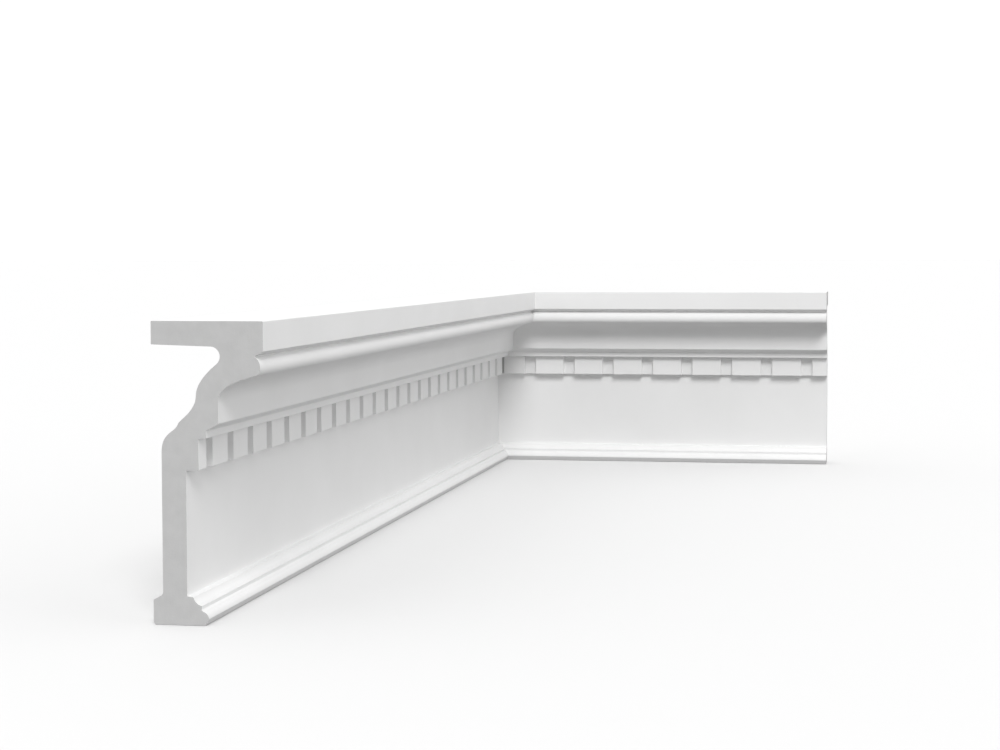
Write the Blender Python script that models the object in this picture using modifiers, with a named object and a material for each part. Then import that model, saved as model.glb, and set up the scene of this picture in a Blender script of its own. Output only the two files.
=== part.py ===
"""Dentil wall moulding with a hollow back, in two lengths mitred round an inner corner.

Both lengths have one moulded section. It is drawn as points (reach, depth): reach is measured
out from the back and depth down from the top. Units are metres and +Z is up. One back plane lies
behind the long length, which runs along Y; the other is behind the short length, along X.
The origin is at the middle of the whole corner piece, on its underside.
"""
import math

import bmesh
import bpy
from mathutils import Matrix

# Whole moulding
HEIGHT = 0.170
PROJECTION = 0.0646
LONG_LENGTH = 1.000
SHORT_LENGTH = 0.350
MITRE_GAP = 0.0003

# Heights of the mouldings down the front; the plain frieze takes what is left
FASCIA_HEIGHT = 0.0168
QUIRK_HEIGHT = 0.0028
BEAD_HEIGHT = 0.0107
COVE_HEIGHT = 0.0150
NECK_HEIGHT = 0.0113
OGEE_HEIGHT = 0.0050
FILLET_HEIGHT = 0.0036
DENTIL_HEIGHT = 0.0180

# Steps out from the back, from the frieze up to the fascia; the cove takes what is left
WEB_CLEARANCE = 0.0056
WEB_THICKNESS = 0.0141
BAND_STEP = 0.0036
DENTIL_RELIEF = 0.0037
FILLET_STEP = 0.0046
OGEE_WIDTH = 0.0070
QUIRK_SETBACK = 0.0053
BEAD_SWELL = 0.0036

# Foot mouldings, going out and down from the frieze: a ledge, a hollow, a narrow band and a toe
LEDGE_WIDTH = 0.0036
LEDGE_DROP = 0.0004
HOLLOW_WIDTH = 0.0049
HOLLOW_HEIGHT = 0.0047
TOE_BAND_SETBACK = 0.0003
TOE_BAND_HEIGHT = 0.0023
TOE_STEP = 0.0009
TOE_ROUND_WIDTH = 0.0035
TOE_ROUND_HEIGHT = 0.0041
TOE_CHAMFER_WIDTH = 0.0023
TOE_CHAMFER_HEIGHT = 0.0038

# Row of dentils; a dentil narrower than the least one is left out at the mitre
DENTIL_WIDTH = 0.0284
DENTIL_SPACE = 0.0111
CORNER_DENTIL_LEAST = 0.0060
SOFFIT_LIP = 0.0005

# Hollow back: flange at the top, bent wall behind the mouldings, heel at the foot
FLANGE_THICKNESS = 0.0131
FLANGE_DRAFT = 0.0010
NOSE_SETBACK = 0.0248
NOSE_RADIUS = 0.0055
NECK_THICKNESS = 0.0128
NECK_RISE = 0.0038
SHOULDER_THICKNESS = 0.0162
SHOULDER_DROP = 0.0004
SHOULDER_SLOPE = math.radians(71)
WEB_TOP_DROP = 0.0081
HEEL_HEIGHT = 0.0139
HEEL_SLOPE_HEIGHT = 0.0025
HEEL_FILLET = 0.0027
HEEL_CHAMFER = 0.0012

# How finely the round stretches are cut, and how far a cutter runs past what it cuts
CURVE_STEPS = 8
SMALL_CURVE_STEPS = 4
CUTTER_OVERLAP = 0.005
SMOOTH_ANGLE = math.radians(28)
WELD_DISTANCE = 0.00001

COLOUR = (0.86, 0.86, 0.855, 1.0)
ROUGHNESS = 0.62

# Places worked out from the sizes above
FRIEZE_REACH = WEB_CLEARANCE + WEB_THICKNESS
BAND_REACH = FRIEZE_REACH + BAND_STEP
DENTIL_REACH = BAND_REACH + DENTIL_RELIEF
FILLET_REACH = DENTIL_REACH + FILLET_STEP
NECK_REACH = FILLET_REACH + OGEE_WIDTH
QUIRK_REACH = PROJECTION - QUIRK_SETBACK
QUIRK_DEPTH = FASCIA_HEIGHT + QUIRK_HEIGHT
COVE_DEPTH = QUIRK_DEPTH + BEAD_HEIGHT
NECK_DEPTH = COVE_DEPTH + COVE_HEIGHT
OGEE_DEPTH = NECK_DEPTH + NECK_HEIGHT
FILLET_DEPTH = OGEE_DEPTH + OGEE_HEIGHT
SOFFIT_DEPTH = FILLET_DEPTH + FILLET_HEIGHT
BAND_BOTTOM_DEPTH = SOFFIT_DEPTH + DENTIL_HEIGHT
FOOT_DEPTH = HEIGHT - (LEDGE_DROP + HOLLOW_HEIGHT + TOE_BAND_HEIGHT + TOE_STEP + TOE_ROUND_HEIGHT
                       + TOE_CHAMFER_HEIGHT)


def bezier(start, pull_start, pull_end, end, steps):
    """Points of a cubic curve, without its first one."""
    points = []
    for i in range(1, steps + 1):
        t = i / steps
        u = 1 - t
        weights = (u * u * u, 3 * u * u * t, 3 * u * t * t, t * t * t)
        corners = (start, pull_start, pull_end, end)
        points.append(tuple(sum(w * c[axis] for w, c in zip(weights, corners)) for axis in (0, 1)))
    return points


def sweep(start, heading_out, end, heading_in, steps, share_out, share_in):
    """Points of a curve that leaves and arrives at these headings, without its first one.

    A heading is an angle from the outward direction towards the depth. The shares say how far
    the curve keeps to each heading, as parts of the distance it covers.
    """
    distance = math.dist(start, end)
    pull_out = (start[0] + math.cos(heading_out) * distance * share_out,
                start[1] + math.sin(heading_out) * distance * share_out)
    pull_in = (end[0] - math.cos(heading_in) * distance * share_in,
               end[1] - math.sin(heading_in) * distance * share_in)
    return bezier(start, pull_out, pull_in, end, steps)


def arc(centre, radius, start, end, steps):
    """Points of an arc between two angles, both ends included."""
    points = []
    for i in range(steps + 1):
        angle = start + (end - start) * i / steps
        points.append((centre[0] + radius * math.cos(angle), centre[1] + radius * math.sin(angle)))
    return points


def upper_front():
    """Fascia, quirk, bead, cove, neck, ogee and fillet, down to the soffit over the dentils."""
    quirk = (QUIRK_REACH, QUIRK_DEPTH)
    bead_end = (QUIRK_REACH, COVE_DEPTH)
    neck = (NECK_REACH, NECK_DEPTH)
    ogee = (NECK_REACH, OGEE_DEPTH)
    fillet = (FILLET_REACH, FILLET_DEPTH)
    ogee_middle = (FILLET_REACH + OGEE_WIDTH / 2, OGEE_DEPTH + OGEE_HEIGHT / 2)
    points = [(PROJECTION, 0.0), (PROJECTION, FASCIA_HEIGHT), quirk]
    points += bezier(quirk, (quirk[0] + BEAD_SWELL * 1.30, quirk[1] + BEAD_HEIGHT * 0.15),
                     (bead_end[0] + BEAD_SWELL * 1.40, bead_end[1] + BEAD_HEIGHT * 0.03), bead_end,
                     CURVE_STEPS)
    cove_width = QUIRK_REACH - NECK_REACH
    points += bezier(bead_end, (bead_end[0] - cove_width * 0.46, bead_end[1] + COVE_HEIGHT * 0.21),
                     (neck[0], neck[1] - COVE_HEIGHT * 0.64), neck, CURVE_STEPS)
    points.append(ogee)
    points += bezier(ogee, (ogee[0], ogee[1] + OGEE_HEIGHT * 0.18),
                     (ogee_middle[0] + OGEE_WIDTH * 0.19, ogee_middle[1] - OGEE_HEIGHT * 0.17),
                     ogee_middle, SMALL_CURVE_STEPS)
    points += bezier(ogee_middle, (ogee_middle[0] - OGEE_WIDTH * 0.19,
                                   ogee_middle[1] + OGEE_HEIGHT * 0.17),
                     (fillet[0], fillet[1] - OGEE_HEIGHT * 0.24), fillet, SMALL_CURVE_STEPS)
    points.append((FILLET_REACH, SOFFIT_DEPTH))
    return points


def lower_front():
    """Dentil band, frieze, ledge, hollow and rounded toe, down to the underside."""
    points = [(DENTIL_REACH, SOFFIT_DEPTH), (DENTIL_REACH, BAND_BOTTOM_DEPTH),
              (FRIEZE_REACH, BAND_BOTTOM_DEPTH), (FRIEZE_REACH, FOOT_DEPTH)]
    ledge = (FRIEZE_REACH + LEDGE_WIDTH, FOOT_DEPTH + LEDGE_DROP)
    hollow_end = (ledge[0] + HOLLOW_WIDTH, ledge[1] + HOLLOW_HEIGHT)
    band_end = (hollow_end[0] - TOE_BAND_SETBACK, hollow_end[1] + TOE_BAND_HEIGHT)
    toe = (band_end[0] + TOE_STEP, band_end[1] + TOE_STEP)
    toe_end = (toe[0] + TOE_ROUND_WIDTH, toe[1] + TOE_ROUND_HEIGHT)
    points.append(ledge)
    points += bezier(ledge, (ledge[0], ledge[1] + HOLLOW_HEIGHT * 0.40),
                     (hollow_end[0] - HOLLOW_WIDTH * 0.40, hollow_end[1]), hollow_end, SMALL_CURVE_STEPS)
    points += [band_end, toe]
    points += bezier(toe, (toe[0] + TOE_ROUND_WIDTH * 0.52, toe[1] + TOE_ROUND_HEIGHT * 0.12),
                     (toe_end[0] - TOE_ROUND_WIDTH * 0.09, toe_end[1] - TOE_ROUND_HEIGHT * 0.54),
                     toe_end, SMALL_CURVE_STEPS)
    points.append((toe_end[0] - TOE_CHAMFER_WIDTH, HEIGHT))
    return points


def back():
    """Heel, hollow behind the web and the cove, and underside of the top flange, going up."""
    up = -math.pi / 2
    heel_top = HEIGHT - HEEL_HEIGHT
    slope_end = (WEB_CLEARANCE * 0.8, heel_top - HEEL_SLOPE_HEIGHT)
    web_foot = (WEB_CLEARANCE, slope_end[1] - HEEL_FILLET)
    web_top = (WEB_CLEARANCE, SOFFIT_DEPTH + WEB_TOP_DROP)
    shoulder = (FILLET_REACH - SHOULDER_THICKNESS, OGEE_DEPTH + SHOULDER_DROP)
    neck = (NECK_REACH - NECK_THICKNESS, NECK_DEPTH - NECK_RISE)
    flange_bottom = FLANGE_THICKNESS + FLANGE_DRAFT
    nose_centre = (PROJECTION - NOSE_SETBACK - NOSE_RADIUS, flange_bottom + NOSE_RADIUS)
    nose = arc(nose_centre, NOSE_RADIUS, math.pi / 4, up, CURVE_STEPS)
    points = [(HEEL_CHAMFER, HEIGHT), (0.0, HEIGHT - HEEL_CHAMFER), (0.0, heel_top), slope_end]
    points += bezier(slope_end, (WEB_CLEARANCE, slope_end[1] - HEEL_FILLET * 0.3),
                     (WEB_CLEARANCE, slope_end[1] - HEEL_FILLET * 0.6), web_foot, SMALL_CURVE_STEPS)
    points.append(web_top)
    points += sweep(web_top, up, shoulder, -SHOULDER_SLOPE, CURVE_STEPS, share_out=0.62, share_in=0.31)
    points += sweep(shoulder, -SHOULDER_SLOPE, neck, up, CURVE_STEPS, share_out=0.10, share_in=0.45)
    points += sweep(neck, up, nose[0], -math.pi / 4, CURVE_STEPS, share_out=0.40, share_in=0.06)
    points += nose[1:]
    points += [(0.0, FLANGE_THICKNESS), (0.0, 0.0)]
    return points


def section_solid(name, start, end, turn, collection):
    """Solid of the moulded section, standing upright along Y between two places, then turned."""
    outline = upper_front() + lower_front() + back()
    curve = bpy.data.curves.new(name + "_section", "CURVE")
    curve.dimensions = "2D"
    curve.fill_mode = "BOTH"
    curve.extrude = (end - start) / 2
    spline = curve.splines.new("POLY")
    spline.points.add(len(outline) - 1)
    for point, (reach, depth) in zip(spline.points, outline):
        point.co = (reach, HEIGHT - depth, 0.0, 1.0)
    spline.use_cyclic_u = True
    drawn = bpy.data.objects.new(name + "_section", curve)
    drawn.matrix_world = (Matrix.Rotation(turn, 4, "Z") @ Matrix.Translation((0.0, (start + end) / 2, 0.0))
                          @ Matrix.Rotation(math.pi / 2, 4, "X"))
    bpy.context.scene.collection.objects.link(drawn)
    bpy.context.view_layer.update()
    mesh = bpy.data.meshes.new_from_object(drawn.evaluated_get(bpy.context.evaluated_depsgraph_get()))
    mesh.name = name
    mesh.transform(drawn.matrix_world)
    bpy.data.objects.remove(drawn)
    work = bmesh.new()
    work.from_mesh(mesh)
    bmesh.ops.remove_doubles(work, verts=work.verts, dist=WELD_DISTANCE)
    bmesh.ops.recalc_face_normals(work, faces=work.faces)
    work.to_mesh(mesh)
    work.free()
    mesh.shade_smooth()
    mesh.set_sharp_from_angle(angle=SMOOTH_ANGLE)
    solid = bpy.data.objects.new(name, mesh)
    collection.objects.link(solid)
    return solid


def cutter_box(name, low, high, turn, collection):
    """Cutter between two corners, turned about the inner corner."""
    mesh = bpy.data.meshes.new(name)
    work = bmesh.new()
    bmesh.ops.create_cube(work, size=1.0)
    size = [b - a for a, b in zip(low, high)]
    middle = [(a + b) / 2 for a, b in zip(low, high)]
    bmesh.ops.scale(work, vec=size, verts=work.verts)
    bmesh.ops.translate(work, vec=middle, verts=work.verts)
    bmesh.ops.rotate(work, cent=(0.0, 0.0, 0.0), matrix=Matrix.Rotation(turn, 3, "Z"), verts=work.verts)
    work.to_mesh(mesh)
    work.free()
    cutter = bpy.data.objects.new(name, mesh)
    cutter.hide_render = True
    cutter.display_type = "WIRE"
    collection.objects.link(cutter)
    return cutter


def cut(solid, cutter, name):
    """Takes the cutter out of the solid."""
    modifier = solid.modifiers.new(name, "BOOLEAN")
    modifier.operation = "DIFFERENCE"
    modifier.solver = "EXACT"
    modifier.object = cutter


def cut_dentil_spaces(solid, name, run, side, turn, cutters):
    """Sinks the spaces between the dentils, counted from half a dentil at the cut end."""
    pitch = DENTIL_WIDTH + DENTIL_SPACE
    first_edge = run - DENTIL_WIDTH / 2
    count = int((first_edge - DENTIL_REACH) / pitch) + 1
    last_edge = first_edge - pitch * (count - 1)
    runs_out = last_edge - DENTIL_SPACE - DENTIL_REACH < CORNER_DENTIL_LEAST
    bottom = HEIGHT - BAND_BOTTOM_DEPTH - CUTTER_OVERLAP
    top = HEIGHT - SOFFIT_DEPTH - SOFFIT_LIP

    def space(label, near, far):
        edges = sorted((side * near, side * far))
        low = (BAND_REACH, edges[0], bottom)
        high = (DENTIL_REACH + CUTTER_OVERLAP, edges[1], top)
        return cutter_box(name + label, low, high, turn, cutters)

    spaces = space("_dentil_spaces", first_edge, first_edge - DENTIL_SPACE)
    row = spaces.modifiers.new("row", "ARRAY")
    row.count = count - 1 if runs_out else count
    row.use_relative_offset = False
    row.use_constant_offset = True
    row.merge_threshold = WELD_DISTANCE
    row.constant_offset_displace = (side * pitch * math.sin(turn), -side * pitch * math.cos(turn), 0.0)
    cut(solid, spaces, "dentil_spaces")
    if runs_out:
        cut(solid, space("_corner_space", last_edge, 0.0), "corner_space")


def moulding_length(name, run, side, turn, parts, cutters):
    """One length: its section along the back, its dentil spaces and its mitre.

    Before it is turned, the back is at X = 0 and the inner corner at Y = 0, and the length runs
    from there to its cut end at Y = side * run.
    """
    start, end = sorted((side * run, -side * CUTTER_OVERLAP))
    solid = section_solid(name, start, end, turn, parts)
    solid.data.materials.append(primer(name + "_primer"))
    cut_dentil_spaces(solid, name, run, side, turn, cutters)

    span = 2 * PROJECTION
    tilt = -math.pi / 4 if side < 0 else -3 * math.pi / 4
    low = (-span, -MITRE_GAP / 2, -CUTTER_OVERLAP)
    high = (span, span, HEIGHT + CUTTER_OVERLAP)
    cut(solid, cutter_box(name + "_mitre", low, high, turn + tilt, cutters), "mitre")


def primer(name):
    """Matt white primer on rigid polyurethane."""
    material = bpy.data.materials.new(name)
    material.use_nodes = True
    shader = material.node_tree.nodes["Principled BSDF"]
    shader.inputs["Base Color"].default_value = COLOUR
    shader.inputs["Roughness"].default_value = ROUGHNESS
    shader.inputs["Metallic"].default_value = 0.0
    return material


def new_collection(name):
    """Collection in the scene."""
    collection = bpy.data.collections.new(name)
    bpy.context.scene.collection.children.link(collection)
    return collection


def main():
    for thing in list(bpy.data.objects):
        bpy.data.objects.remove(thing)
    parts = new_collection("dentil_moulding")
    cutters = new_collection("cutters")
    moulding_length("long_length", LONG_LENGTH, -1, 0.0, parts, cutters)
    moulding_length("short_length", SHORT_LENGTH, 1, -math.pi / 2, parts, cutters)
    corner = bpy.data.objects.new("inner_corner", None)
    corner.location = (-SHORT_LENGTH / 2, LONG_LENGTH / 2, 0.0)
    for thing in list(parts.objects) + list(cutters.objects):
        thing.parent = corner
    parts.objects.link(corner)


main()
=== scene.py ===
import math

import bmesh
import bpy
from mathutils import Euler, Matrix, Vector


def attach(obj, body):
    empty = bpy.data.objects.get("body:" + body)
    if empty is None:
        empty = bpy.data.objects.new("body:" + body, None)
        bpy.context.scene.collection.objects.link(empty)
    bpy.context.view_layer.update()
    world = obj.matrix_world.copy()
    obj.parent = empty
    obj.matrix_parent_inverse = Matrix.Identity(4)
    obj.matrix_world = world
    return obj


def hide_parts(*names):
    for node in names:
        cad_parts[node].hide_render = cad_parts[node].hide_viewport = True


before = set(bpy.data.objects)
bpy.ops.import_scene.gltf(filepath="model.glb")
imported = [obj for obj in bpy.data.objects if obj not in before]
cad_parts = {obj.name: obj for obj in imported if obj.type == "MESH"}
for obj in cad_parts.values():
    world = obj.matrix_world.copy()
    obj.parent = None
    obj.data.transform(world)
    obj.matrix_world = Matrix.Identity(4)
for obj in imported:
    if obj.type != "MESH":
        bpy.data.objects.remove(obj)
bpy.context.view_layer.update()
bpy.ops.object.select_all(action="DESELECT")


# Long length: a metre of hollow-backed cornice, moulded in one piece in rigid polyurethane with
# its dentils and primed white. Half a dentil stands at its square cut end, so the section is run
# one dentil pitch at a time from there, and the other end is mitred into the inner corner.
HEIGHT = 0.170
PROJECTION = 0.0646
LONG_RUN = 1.000
BACK_X = -0.175
CORNER_Y = 0.500

# Section, as (reach from the back, depth from the top), down the front and up the back
FASCIA_HEIGHT = 0.0168
QUIRK = (0.0593, 0.0196)
BEAD_SWELL = 0.0036
BEAD_END = (0.0593, 0.0303)
NECK_REACH = 0.0386
NECK_TOP = 0.0453
OGEE_TOP = 0.0566
FILLET = (0.0316, 0.0616)
SOFFIT_OUTER = (0.0316, 0.0652)
DENTIL_REACH = 0.0270
DENTIL_TOP = 0.0656
DENTIL_BOTTOM = 0.0832
FRIEZE_REACH = 0.0197
FOOT_TOP = 0.1538
LEDGE = (0.0233, 0.1542)
HOLLOW_END = (0.0282, 0.1589)
TOE_BAND_END = (0.0279, 0.1612)
TOE_TOP = (0.0288, 0.1621)
TOE_TIP = (0.0323, 0.1662)
TOE_FOOT = 0.0300
HEEL_CHAMFER = 0.0012
HEEL_TOP = 0.1561
HEEL_SLOPE_END = (0.0045, 0.1536)
WEB_FOOT = 0.1509
WEB_CLEARANCE = 0.0056
WEB_TOP = 0.0733
SHOULDER = (0.0154, 0.0570)
SHOULDER_SLOPE = math.radians(71)
NECK_BACK = (0.0258, 0.0415)
NOSE_CENTRE = (0.0343, 0.0196)
NOSE_RADIUS = 0.0055
NOSE_SLOPE = math.radians(45)
FLANGE_THICKNESS = 0.0131
ARRIS_RADIUS = 0.0004
CORNER_ANGLE = math.radians(34)

# Row of dentils
DENTIL_WIDTH = 0.0284
DENTIL_SPACE = 0.0111
DENTIL_RELIEF = 0.0037
DENTIL_ROUND = 0.0004
DENTIL_DRAFT = 0.0002
PITCH = DENTIL_WIDTH + DENTIL_SPACE
LONG_PITCHES = 24
JOINT_GAP = 0.00002
PAST_MITRE = 0.01

# How far each curve keeps to the way it leaves and arrives, as shares of its own width and height
BEAD_PULL_TOP = (1.30, 0.15)
BEAD_PULL_END = (1.40, 0.03)
COVE_PULL_TOP = (0.46, 0.21)
COVE_PULL_END = 0.64
OGEE_PULL_TOP = 0.18
OGEE_PULL_TURN = (0.19, 0.17)
OGEE_PULL_END = 0.24
HOLLOW_PULL = 0.40
TOE_PULL_TOP = (0.52, 0.12)
TOE_PULL_TIP = (0.09, 0.54)
HEEL_PULLS = (0.3, 0.6)
SHOULDER_PULLS = (0.62, 0.31)
NECK_BACK_PULLS = (0.10, 0.45)
NOSE_PULLS = (0.40, 0.06)
ARRIS_PULL = 0.55
ARRIS_MOST_OF_SIDE = 0.45

# How finely the curves are cut
BEAD_STEPS = 18
COVE_STEPS = 20
SMALL_CURVE_STEPS = 9
TOE_STEPS = 8
HEEL_STEPS = 7
BACK_STEPS = 14
ARRIS_STEPS = 3
SMOOTH_ANGLE = math.radians(38)

# Margins for finding places on the mesh, and for joining points that share a place
SAME_PLACE = 0.000002
FRONT_MARGIN = 0.0007
BAND_MARGIN = 0.0001
POINT_WELD = 0.000005
RING_WELD = 0.00001
SAW_PRECISION = 0.0000005
SAME_WAY = 0.999


def bezier(start, pull_start, pull_end, end, steps):
    """Points of a cubic curve, without its first one."""
    points = []
    for i in range(1, steps + 1):
        t = i / steps
        u = 1 - t
        weights = (u * u * u, 3 * u * u * t, 3 * u * t * t, t * t * t)
        corners = (start, pull_start, pull_end, end)
        points.append(tuple(sum(w * c[axis] for w, c in zip(weights, corners)) for axis in (0, 1)))
    return points


def sweep(start, heading_out, end, heading_in, pulls):
    """Points of a curve that leaves and arrives at these headings, without its first one."""
    distance = math.dist(start, end)
    pull_out = (start[0] + math.cos(heading_out) * distance * pulls[0],
                start[1] + math.sin(heading_out) * distance * pulls[0])
    pull_in = (end[0] - math.cos(heading_in) * distance * pulls[1],
               end[1] - math.sin(heading_in) * distance * pulls[1])
    return bezier(start, pull_out, pull_in, end, BACK_STEPS)


def moulded_front():
    """Fascia, quirk, bead, cove, neck, ogee, fillet, dentil band, frieze and foot, going down."""
    line = [(PROJECTION, 0.0), (PROJECTION, FASCIA_HEIGHT), QUIRK]
    bead_height = BEAD_END[1] - QUIRK[1]
    line += bezier(QUIRK, (QUIRK[0] + BEAD_SWELL * BEAD_PULL_TOP[0],
                           QUIRK[1] + bead_height * BEAD_PULL_TOP[1]),
                   (BEAD_END[0] + BEAD_SWELL * BEAD_PULL_END[0],
                    BEAD_END[1] + bead_height * BEAD_PULL_END[1]), BEAD_END, BEAD_STEPS)
    cove_width = BEAD_END[0] - NECK_REACH
    cove_height = NECK_TOP - BEAD_END[1]
    line += bezier(BEAD_END, (BEAD_END[0] - cove_width * COVE_PULL_TOP[0],
                              BEAD_END[1] + cove_height * COVE_PULL_TOP[1]),
                   (NECK_REACH, NECK_TOP - cove_height * COVE_PULL_END), (NECK_REACH, NECK_TOP), COVE_STEPS)
    ogee_height = FILLET[1] - OGEE_TOP
    ogee_width = NECK_REACH - FILLET[0]
    turn = (FILLET[0] + ogee_width / 2, OGEE_TOP + ogee_height / 2)
    turn_pull = (ogee_width * OGEE_PULL_TURN[0], ogee_height * OGEE_PULL_TURN[1])
    line.append((NECK_REACH, OGEE_TOP))
    line += bezier((NECK_REACH, OGEE_TOP), (NECK_REACH, OGEE_TOP + ogee_height * OGEE_PULL_TOP),
                   (turn[0] + turn_pull[0], turn[1] - turn_pull[1]), turn, SMALL_CURVE_STEPS)
    line += bezier(turn, (turn[0] - turn_pull[0], turn[1] + turn_pull[1]),
                   (FILLET[0], FILLET[1] - ogee_height * OGEE_PULL_END), FILLET, SMALL_CURVE_STEPS)
    line += [SOFFIT_OUTER, (DENTIL_REACH, DENTIL_TOP), (DENTIL_REACH, DENTIL_BOTTOM),
             (FRIEZE_REACH, DENTIL_BOTTOM), (FRIEZE_REACH, FOOT_TOP), LEDGE]
    hollow_width = HOLLOW_END[0] - LEDGE[0]
    hollow_height = HOLLOW_END[1] - LEDGE[1]
    line += bezier(LEDGE, (LEDGE[0], LEDGE[1] + hollow_height * HOLLOW_PULL),
                   (HOLLOW_END[0] - hollow_width * HOLLOW_PULL, HOLLOW_END[1]), HOLLOW_END, SMALL_CURVE_STEPS)
    toe_width = TOE_TIP[0] - TOE_TOP[0]
    toe_height = TOE_TIP[1] - TOE_TOP[1]
    line += [TOE_BAND_END, TOE_TOP]
    line += bezier(TOE_TOP, (TOE_TOP[0] + toe_width * TOE_PULL_TOP[0],
                             TOE_TOP[1] + toe_height * TOE_PULL_TOP[1]),
                   (TOE_TIP[0] - toe_width * TOE_PULL_TIP[0],
                    TOE_TIP[1] - toe_height * TOE_PULL_TIP[1]), TOE_TIP, TOE_STEPS)
    return line + [(TOE_FOOT, HEIGHT)]


def hollow_back():
    """Heel, web, bent wall behind the mouldings, nose of the hollow and flange, going up."""
    up = -math.pi / 2
    line = [(HEEL_CHAMFER, HEIGHT), (0.0, HEIGHT - HEEL_CHAMFER), (0.0, HEEL_TOP), HEEL_SLOPE_END]
    fillet_height = HEEL_SLOPE_END[1] - WEB_FOOT
    line += bezier(HEEL_SLOPE_END, (WEB_CLEARANCE, HEEL_SLOPE_END[1] - fillet_height * HEEL_PULLS[0]),
                   (WEB_CLEARANCE, HEEL_SLOPE_END[1] - fillet_height * HEEL_PULLS[1]),
                   (WEB_CLEARANCE, WEB_FOOT), HEEL_STEPS)
    nose = []
    for i in range(BACK_STEPS + 1):
        angle = NOSE_SLOPE + (up - NOSE_SLOPE) * i / BACK_STEPS
        nose.append((NOSE_CENTRE[0] + NOSE_RADIUS * math.cos(angle),
                     NOSE_CENTRE[1] + NOSE_RADIUS * math.sin(angle)))
    web_top = (WEB_CLEARANCE, WEB_TOP)
    line.append(web_top)
    line += sweep(web_top, up, SHOULDER, -SHOULDER_SLOPE, SHOULDER_PULLS)
    line += sweep(SHOULDER, -SHOULDER_SLOPE, NECK_BACK, up, NECK_BACK_PULLS)
    line += sweep(NECK_BACK, up, nose[0], -NOSE_SLOPE, NOSE_PULLS)
    return line + nose[1:] + [(0.0, FLANGE_THICKNESS), (0.0, 0.0)]


def soften(line, radius):
    """The closed line with each sharp corner replaced by a short round one."""
    softened = []
    for i, corner in enumerate(line):
        corner = Vector(corner)
        before = Vector(line[i - 1]) - corner
        after = Vector(line[(i + 1) % len(line)]) - corner
        turn = math.pi - before.angle(after)
        if turn < CORNER_ANGLE:
            softened.append(tuple(corner))
            continue
        most = min(before.length, after.length) * ARRIS_MOST_OF_SIDE
        reach = min(radius * math.tan(turn / 2), most)
        start = corner + before.normalized() * reach
        end = corner + after.normalized() * reach
        softened.append(tuple(start))
        softened += bezier(tuple(start), tuple(start.lerp(corner, ARRIS_PULL)),
                           tuple(end.lerp(corner, ARRIS_PULL)), tuple(end), ARRIS_STEPS)
    return softened


def only(piece):
    """Makes this piece the only selected one, and the active one."""
    bpy.ops.object.select_all(action="DESELECT")
    piece.select_set(True)
    bpy.context.view_layer.objects.active = piece


def pick(piece, wanted):
    """In edit mode, selects the vertices whose place is wanted, and nothing else."""
    work = bmesh.from_edit_mesh(piece.data)
    for part in (*work.faces, *work.edges, *work.verts):
        part.select = False
    for vertex in work.verts:
        vertex.select = wanted(vertex.co)
    work.select_flush_mode()
    bmesh.update_edit_mesh(piece.data)


def on_dentil_front(place):
    """Whether a place on the long length's newest ring belongs to the dentil's front."""
    reach = place.x - BACK_X
    depth = HEIGHT - place.z
    space_reach = DENTIL_REACH - DENTIL_RELIEF
    return (space_reach - FRONT_MARGIN < reach < DENTIL_REACH + FRONT_MARGIN
            and SOFFIT_OUTER[1] + BAND_MARGIN < depth < DENTIL_BOTTOM + BAND_MARGIN)


def run_on(piece, y, stations):
    """Extrudes the open end at y from station to station; each is (distance, depth below the dentil)."""
    distance, sunk = stations[0]
    here = y
    for next_distance, next_sunk in stations[1:]:
        pick(piece, lambda place: place.y > here - SAME_PLACE)
        bpy.ops.mesh.extrude_region_move(
            TRANSFORM_OT_translate={"value": (0.0, next_distance - distance, 0.0)})
        here += next_distance - distance
        if next_sunk != sunk:
            pick(piece, lambda place: place.y > here - SAME_PLACE and on_dentil_front(place))
            bpy.ops.transform.translate(value=(sunk - next_sunk, 0.0, 0.0))
        distance, sunk = next_distance, next_sunk


def space_side(edge, way):
    """Stations that go down one side of a dentil space, with a round arris and a round foot."""
    foot = DENTIL_RELIEF - DENTIL_ROUND
    part_round = DENTIL_ROUND * (1 - math.sqrt(0.5))
    rounded = [(-DENTIL_ROUND, 0.0), (-part_round, part_round), (0.0, DENTIL_ROUND), (DENTIL_DRAFT, foot),
               (DENTIL_DRAFT + part_round, DENTIL_RELIEF - part_round),
               (DENTIL_DRAFT + DENTIL_ROUND, DENTIL_RELIEF)]
    side = [(edge + way * along, sunk) for along, sunk in rounded]
    return side if way > 0 else side[::-1]


section = soften(moulded_front() + hollow_back(), ARRIS_RADIUS)
drawn = bpy.data.curves.new("section", "CURVE")
drawn.dimensions = "2D"
drawn.fill_mode = "NONE"
spline = drawn.splines.new("POLY")
spline.points.add(len(section) - 1)
for point, (reach, depth) in zip(spline.points, section):
    point.co = (reach, HEIGHT - depth, 0.0, 1.0)
spline.use_cyclic_u = True
one_pitch = bpy.data.objects.new("one_pitch", drawn)
bpy.context.scene.collection.objects.link(one_pitch)
one_pitch.location = (BACK_X, CORNER_Y - LONG_RUN, 0.0)
one_pitch.rotation_euler = (math.pi / 2, 0.0, 0.0)
only(one_pitch)
bpy.ops.object.convert(target="MESH")
bpy.ops.object.transform_apply(location=True, rotation=True, scale=True)

near_side = space_side(DENTIL_WIDTH / 2, 1)
far_side = space_side(DENTIL_WIDTH / 2 + DENTIL_SPACE, -1)
bpy.ops.object.mode_set(mode="EDIT")
bpy.ops.mesh.select_mode(type="VERT")
bpy.ops.mesh.select_all(action="SELECT")
bpy.ops.mesh.remove_doubles(threshold=POINT_WELD)
run_on(one_pitch, CORNER_Y - LONG_RUN, [(0.0, 0.0)] + near_side + far_side + [(PITCH, 0.0)])
bpy.ops.object.mode_set(mode="OBJECT")


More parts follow.
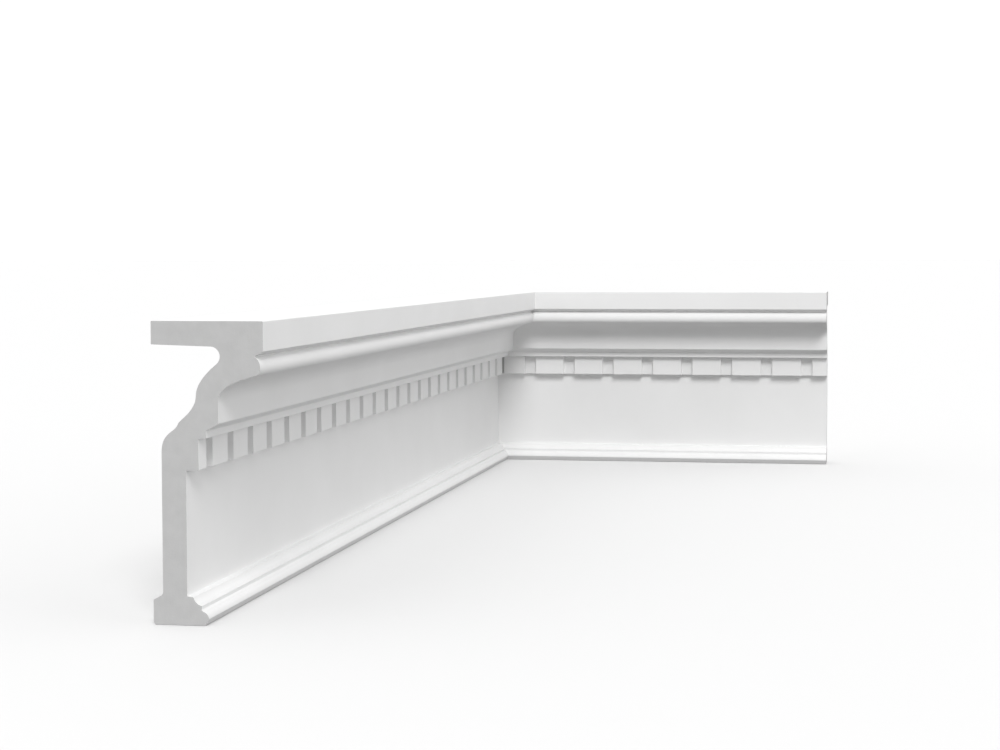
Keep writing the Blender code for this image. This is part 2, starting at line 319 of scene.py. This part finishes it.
def run_of_pitches(name, pitches, last_stations):
    """A copy of the one pitch, repeated along the run and carried on past the mitre."""
    run = one_pitch.copy()
    run.data = one_pitch.data.copy()
    run.name = run.data.name = name
    bpy.context.scene.collection.objects.link(run)
    only(run)
    row = run.modifiers.new("row", "ARRAY")
    row.count = pitches
    row.use_relative_offset = False
    row.use_constant_offset = True
    row.constant_offset_displace = (0.0, PITCH, 0.0)
    row.use_merge_vertices = True
    row.merge_threshold = RING_WELD
    bpy.ops.object.modifier_apply(modifier="row")
    bpy.ops.object.mode_set(mode="EDIT")
    start = CORNER_Y - LONG_RUN
    run_on(run, start + PITCH * pitches, last_stations)
    pick(run, lambda place: place.y < start + SAME_PLACE)
    bpy.ops.mesh.edge_face_add()
    return run


def mitre_and_finish(run, corner, outward, sawn_ends):
    """Saws off what runs past the mitre, closes the cut, and gives the sawn faces their own finish."""
    bpy.ops.mesh.select_all(action="SELECT")
    bpy.ops.mesh.bisect(plane_co=corner - outward * JOINT_GAP / 2, plane_no=outward, use_fill=True,
                        clear_outer=True, threshold=SAW_PRECISION)
    bpy.ops.mesh.select_all(action="SELECT")
    bpy.ops.mesh.normals_make_consistent(inside=False)
    bpy.ops.mesh.select_all(action="DESELECT")
    bpy.ops.object.mode_set(mode="OBJECT")
    bpy.ops.object.shade_smooth_by_angle(angle=SMOOTH_ANGLE)
    flats = run.modifiers.new("flats_stay_flat", "WEIGHTED_NORMAL")
    flats.mode = "FACE_AREA"
    flats.keep_sharp = True
    bpy.ops.object.modifier_apply(modifier="flats_stay_flat")
    run.data.materials.clear()
    run.data.materials.append(white_primer)
    run.data.materials.append(sawn_foam)
    for face in run.data.polygons:
        face.material_index = int(any(face.normal.dot(end) > SAME_WAY for end in sawn_ends))


def shader_of(material):
    """The material's node tree, its nodes and its shader node."""
    material.use_nodes = True
    nodes = material.node_tree.nodes
    return material.node_tree, nodes, nodes["Principled BSDF"]


def noise(tree, place, scale, detail, roughness, stretch=None):
    """Noise over the piece's own coordinates, in features per metre; stretch draws it out."""
    source = place
    if stretch is not None:
        mapping = tree.nodes.new("ShaderNodeMapping")
        mapping.inputs["Scale"].default_value = stretch
        tree.links.new(place, mapping.inputs["Vector"])
        source = mapping.outputs["Vector"]
    texture = tree.nodes.new("ShaderNodeTexNoise")
    texture.inputs["Scale"].default_value = scale
    texture.inputs["Detail"].default_value = detail
    texture.inputs["Roughness"].default_value = roughness
    tree.links.new(source, texture.inputs["Vector"])
    return texture.outputs["Fac"]


def spread(tree, value, low, high, out_low, out_high):
    """The value between low and high stretched to another range."""
    node = tree.nodes.new("ShaderNodeMapRange")
    for name, number in (("From Min", low), ("From Max", high), ("To Min", out_low), ("To Max", out_high)):
        node.inputs[name].default_value = number
    tree.links.new(value, node.inputs["Value"])
    return node.outputs["Result"]


def tones(tree, value, dark, light):
    """Colour between two tones."""
    ramp = tree.nodes.new("ShaderNodeValToRGB")
    ramp.color_ramp.elements[0].color = (*dark, 1.0)
    ramp.color_ramp.elements[1].color = (*light, 1.0)
    tree.links.new(value, ramp.inputs["Fac"])
    return ramp.outputs["Color"]


def bump(tree, height, distance, strength, below=None):
    """Relief from a height, on top of another relief."""
    node = tree.nodes.new("ShaderNodeBump")
    node.inputs["Distance"].default_value = distance
    node.inputs["Strength"].default_value = strength
    tree.links.new(height, node.inputs["Height"])
    if below is not None:
        tree.links.new(below, node.inputs["Normal"])
    return node.outputs["Normal"]


# Primer: sprayed in the mould, so it is even and matt, with a faint orange peel and slow changes
# of tone where the skin of the foam took it up differently.
PRIMER_DARK = (0.825, 0.825, 0.823)
PRIMER_LIGHT = (0.855, 0.855, 0.854)
PRIMER_ROUGHNESS = (0.50, 0.62)
PRIMER_SHEEN = 0.35
PEEL_RELIEF = (0.00005, 0.5)
RIPPLE_RELIEF = (0.0004, 0.25)

# Noises, as (features per metre, detail, roughness)
TONE_NOISE = (14.0, 3.0, 0.55)
MOTTLE_NOISE = (160.0, 4.0, 0.6)
PEEL_NOISE = (520.0, 2.0, 0.5)
RIPPLE_NOISE = (45.0, 2.0, 0.5)
MIDDLE_OF_NOISE = (0.3, 0.7)

white_primer = bpy.data.materials.new("white_primer")
tree, nodes, shader = shader_of(white_primer)
place = nodes.new("ShaderNodeTexCoord").outputs["Object"]
slow = spread(tree, noise(tree, place, *TONE_NOISE), *MIDDLE_OF_NOISE, 0.0, 1.0)
tree.links.new(tones(tree, slow, PRIMER_DARK, PRIMER_LIGHT), shader.inputs["Base Color"])
mottle = noise(tree, place, *MOTTLE_NOISE)
tree.links.new(spread(tree, mottle, *MIDDLE_OF_NOISE, *PRIMER_ROUGHNESS), shader.inputs["Roughness"])
peel = noise(tree, place, *PEEL_NOISE)
ripple = noise(tree, place, *RIPPLE_NOISE)
relief = bump(tree, peel, *PEEL_RELIEF, bump(tree, ripple, *RIPPLE_RELIEF))
tree.links.new(relief, shader.inputs["Normal"])
shader.inputs["Specular IOR Level"].default_value = PRIMER_SHEEN

# Sawn foam: the cut end shows the bare rigid foam, with fine closed cells and the faint upright marks of the
# saw. Its colour is set a little greyer than the primer all over.
FOAM_DARK = (0.515, 0.515, 0.514)
FOAM_LIGHT = (0.555, 0.555, 0.554)
FOAM_ROUGHNESS = 0.8
FOAM_SHEEN = 0.2
BLOTCH_NOISE = (120.0, 4.0, 0.6)
CELL_SCALE = 1400.0
CELL_RELIEF = (0.0001, 0.35)
SAW_MARK_NOISE = (90.0, 3.0, 0.5)
SAW_MARK_STRETCH = (12.0, 12.0, 0.6)
SAW_MARK_RELIEF = (0.00012, 0.4)

sawn_foam = bpy.data.materials.new("sawn_foam")
tree, nodes, shader = shader_of(sawn_foam)
place = nodes.new("ShaderNodeTexCoord").outputs["Object"]
cells = nodes.new("ShaderNodeTexVoronoi")
cells.inputs["Scale"].default_value = CELL_SCALE
tree.links.new(place, cells.inputs["Vector"])
blotch = spread(tree, noise(tree, place, *BLOTCH_NOISE), *MIDDLE_OF_NOISE, 0.0, 1.0)
tree.links.new(tones(tree, blotch, FOAM_DARK, FOAM_LIGHT), shader.inputs["Base Color"])
saw_marks = noise(tree, place, *SAW_MARK_NOISE, stretch=SAW_MARK_STRETCH)
relief = bump(tree, cells.outputs["Distance"], *CELL_RELIEF, bump(tree, saw_marks, *SAW_MARK_RELIEF))
tree.links.new(relief, shader.inputs["Normal"])
shader.inputs["Roughness"].default_value = FOAM_ROUGHNESS
shader.inputs["Specular IOR Level"].default_value = FOAM_SHEEN

mitre_corner = Vector((BACK_X, CORNER_Y, 0.0))
diagonal = Vector((1.0, 1.0, 0.0)).normalized()
long_rest = LONG_RUN - PITCH * LONG_PITCHES + PAST_MITRE
corner_space = [(0.0, 0.0)] + near_side + [(long_rest, DENTIL_RELIEF)]
long_length = run_of_pitches("long_length_moulding", LONG_PITCHES, corner_space)
mitre_and_finish(long_length, mitre_corner, diagonal, (Vector((0.0, -1.0, 0.0)), diagonal))
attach(long_length, "root")
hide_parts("long_length")


# Short length: the same moulding on the other side of the corner. It is the mirror image of the
# long one, so its run is mirrored over the mitre; half a dentil again ends it on the right.
SHORT_RUN = 0.350
SHORT_PITCHES = 8

short_rest = SHORT_RUN - PITCH * SHORT_PITCHES + PAST_MITRE
corner_dentil = [(0.0, 0.0), (short_rest, 0.0)]
short_length = run_of_pitches("short_length_moulding", SHORT_PITCHES, corner_dentil)
bpy.ops.object.mode_set(mode="OBJECT")
to_corner = Matrix.Translation((-BACK_X, LONG_RUN - SHORT_RUN - CORNER_Y, 0.0))
over_mitre = Matrix(((0.0, -1.0, 0.0, 0.0),
                     (-1.0, 0.0, 0.0, 0.0),
                     (0.0, 0.0, 1.0, 0.0),
                     (0.0, 0.0, 0.0, 1.0)))
short_length.data.transform(Matrix.Translation(mitre_corner) @ over_mitre @ to_corner)
bpy.ops.object.mode_set(mode="EDIT")
mitre_and_finish(short_length, mitre_corner, -diagonal, (Vector((1.0, 0.0, 0.0)), -diagonal))
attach(short_length, "root")
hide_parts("short_length")
bpy.data.objects.remove(one_pitch)


# Floor: plain and pale, just under the moulding's foot. It isn't part of the object. The moulding
# belongs high up, so the floor takes its shadow but throws no light up into its carving.
FLOOR_SIZE = 600.0
FLOOR_Z = -0.0002
FLOOR_COLOUR = (0.80, 0.80, 0.80, 1.0)
FLOOR_ROUGHNESS = 0.9
FLOOR_SHEEN = 0.1

bpy.ops.mesh.primitive_plane_add(size=FLOOR_SIZE, location=(0.0, 0.0, FLOOR_Z))
floor = bpy.context.active_object
floor.name = "floor"
pale = bpy.data.materials.new("pale_floor")
tree, nodes, shader = shader_of(pale)
shader.inputs["Base Color"].default_value = FLOOR_COLOUR
shader.inputs["Roughness"].default_value = FLOOR_ROUGHNESS
shader.inputs["Specular IOR Level"].default_value = FLOOR_SHEEN
floor.data.materials.append(pale)
floor.visible_diffuse = False


# Light: one broad key light high in front, a little to the right, in a white surround. The surround
# has a dark flag under the key light, and is dimmer overhead and towards the ground.
KEY_AZIMUTH = math.radians(18)
KEY_ELEVATION = math.radians(41)
KEY_WIDTH = math.radians(26)
KEY_STRENGTH = 2.0
FLAG_ELEVATION = math.radians(27)
FLAG_OUTER_EDGE = math.cos(math.radians(36))
FLAG_INNER_EDGE = math.cos(math.radians(26))
GROUND_EDGES = (-0.5, 0.0)
GROUND_STRENGTHS = (0.22, 1.06)
OVERHEAD_EDGES = (0.35, 0.95)
OVERHEAD_STRENGTHS = (1.0, 0.82)
UPWARDS = Vector((0.0, 0.0, 1.0))


def way_to(azimuth, elevation):
    """The way to a light; azimuth 0 is straight in front of the short length, 90 degrees is +X."""
    level = math.cos(elevation)
    return Vector((math.sin(azimuth) * level, -math.cos(azimuth) * level, math.sin(elevation)))


key_light = bpy.data.lights.new("key_light", "SUN")
key_light.angle = KEY_WIDTH
key_light.energy = KEY_STRENGTH
key = bpy.data.objects.new("key_light", key_light)
key.rotation_euler = way_to(KEY_AZIMUTH, KEY_ELEVATION).to_track_quat("Z", "Y").to_euler()
bpy.context.scene.collection.objects.link(key)

surround = bpy.data.worlds.new("surround")
bpy.context.scene.world = surround
surround.use_nodes = True
tree = surround.node_tree
way = tree.nodes.new("ShaderNodeTexCoord").outputs["Generated"]


def towards(direction, low, high, out_low, out_high):
    """Eases from one value to another as the way turns towards this direction."""
    along = tree.nodes.new("ShaderNodeVectorMath")
    along.operation = "DOT_PRODUCT"
    along.inputs[1].default_value = direction
    tree.links.new(way, along.inputs[0])
    eased = spread(tree, along.outputs["Value"], low, high, out_low, out_high)
    eased.node.interpolation_type = "SMOOTHSTEP"
    return eased


def product(first, second):
    """One value times another."""
    node = tree.nodes.new("ShaderNodeMath")
    node.operation = "MULTIPLY"
    tree.links.new(first, node.inputs[0])
    tree.links.new(second, node.inputs[1])
    return node.outputs["Value"]


flag = towards(way_to(KEY_AZIMUTH, FLAG_ELEVATION), FLAG_OUTER_EDGE, FLAG_INNER_EDGE, 1.0, 0.0)
ground = towards(UPWARDS, *GROUND_EDGES, *GROUND_STRENGTHS)
overhead = towards(UPWARDS, *OVERHEAD_EDGES, *OVERHEAD_STRENGTHS)
background = tree.nodes["Background"]
tree.links.new(product(product(flag, ground), overhead), background.inputs["Strength"])
background.inputs["Color"].default_value = (1.0, 1.0, 1.0, 1.0)


# Camera: a long lens at the photograph's place, in front of the corner and a little above the top.
SENSOR_WIDTH_MM = 36.0
FOCAL_LENGTH_MM = 75.27
NEAREST_SEEN = 0.05
FARTHEST_SEEN = 100.0
CAMERA_PLACE = (0.22108, -1.60872, 0.20574)
TURN_LEFT = math.radians(10.170)
TILT_UP_FROM_STRAIGHT_DOWN = math.radians(90.0 - 3.263)
LEAN = math.radians(-0.10)

lens = bpy.data.cameras.new("camera")
lens.sensor_fit = "HORIZONTAL"
lens.sensor_width = SENSOR_WIDTH_MM
lens.lens = FOCAL_LENGTH_MM
lens.clip_start = NEAREST_SEEN
lens.clip_end = FARTHEST_SEEN
camera = bpy.data.objects.new("camera", lens)
camera.location = CAMERA_PLACE
aim = (Euler((0.0, 0.0, TURN_LEFT)).to_matrix()
       @ Euler((TILT_UP_FROM_STRAIGHT_DOWN, 0.0, 0.0)).to_matrix()
       @ Euler((0.0, 0.0, LEAN)).to_matrix())
camera.rotation_euler = aim.to_euler()
bpy.context.scene.collection.objects.link(camera)
bpy.context.scene.camera = camera
bpy.context.scene.view_settings.view_transform = "Standard"
